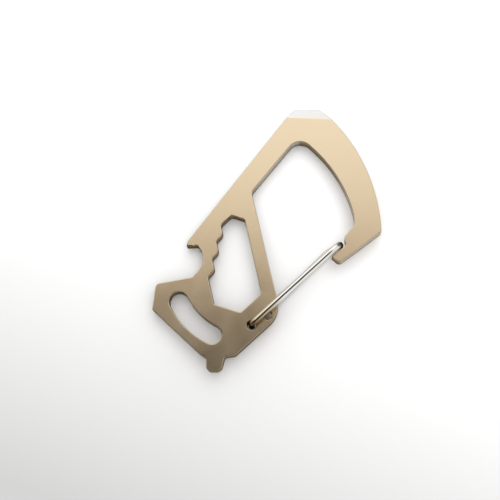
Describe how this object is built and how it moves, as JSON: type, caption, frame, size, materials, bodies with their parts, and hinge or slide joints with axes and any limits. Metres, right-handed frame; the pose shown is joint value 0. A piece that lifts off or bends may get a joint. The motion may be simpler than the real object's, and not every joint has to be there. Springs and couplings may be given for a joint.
{
  "type": "keychain bottle opener",
  "caption": "Flat steel carabiner with a spring wire gate, a bottle-cap lifter, a stepped hexagon window for nuts, a strap slot, a chisel edge and a small driver tip.",
  "frame": {"origin": "centre of the whole object's bounding box, which is on the plate's middle plane", "axes": "+Z out of the plate's upper face, +Y from the driver tip towards the chisel edge, +X towards the back of the hook"},
  "size_m": [0.0574, 0.066, 0.0061],
  "materials": {
    "plate_steel": "satin",
    "wire_steel": "polished"
  },
  "bodies": {
    "plate": {"body_plate": "plate_steel"},
    "gate_upper": {"gate_wire_upper": "wire_steel"},
    "gate_lower": {"gate_wire_lower": "wire_steel"}
  },
  "joints": [
    {"name": "gate_swing", "type": "hinge", "parent": "plate", "child": "gate_upper", "pos_m": [-0.00382, -0.02142, 0], "axis": [0, 0, 1], "range_deg": [0, 20]},
    {"name": "gate_lower_turn", "type": "hinge", "parent": "gate_upper", "child": "gate_lower", "pos_m": [0.02194, -0.01084, 0], "axis": [0, 0, 1], "range_deg": [0, 4.05]}
  ],
  "couplings": [
    {"joint": "gate_lower_turn", "follows": "gate_swing", "ratio": 0.2}
  ]
}
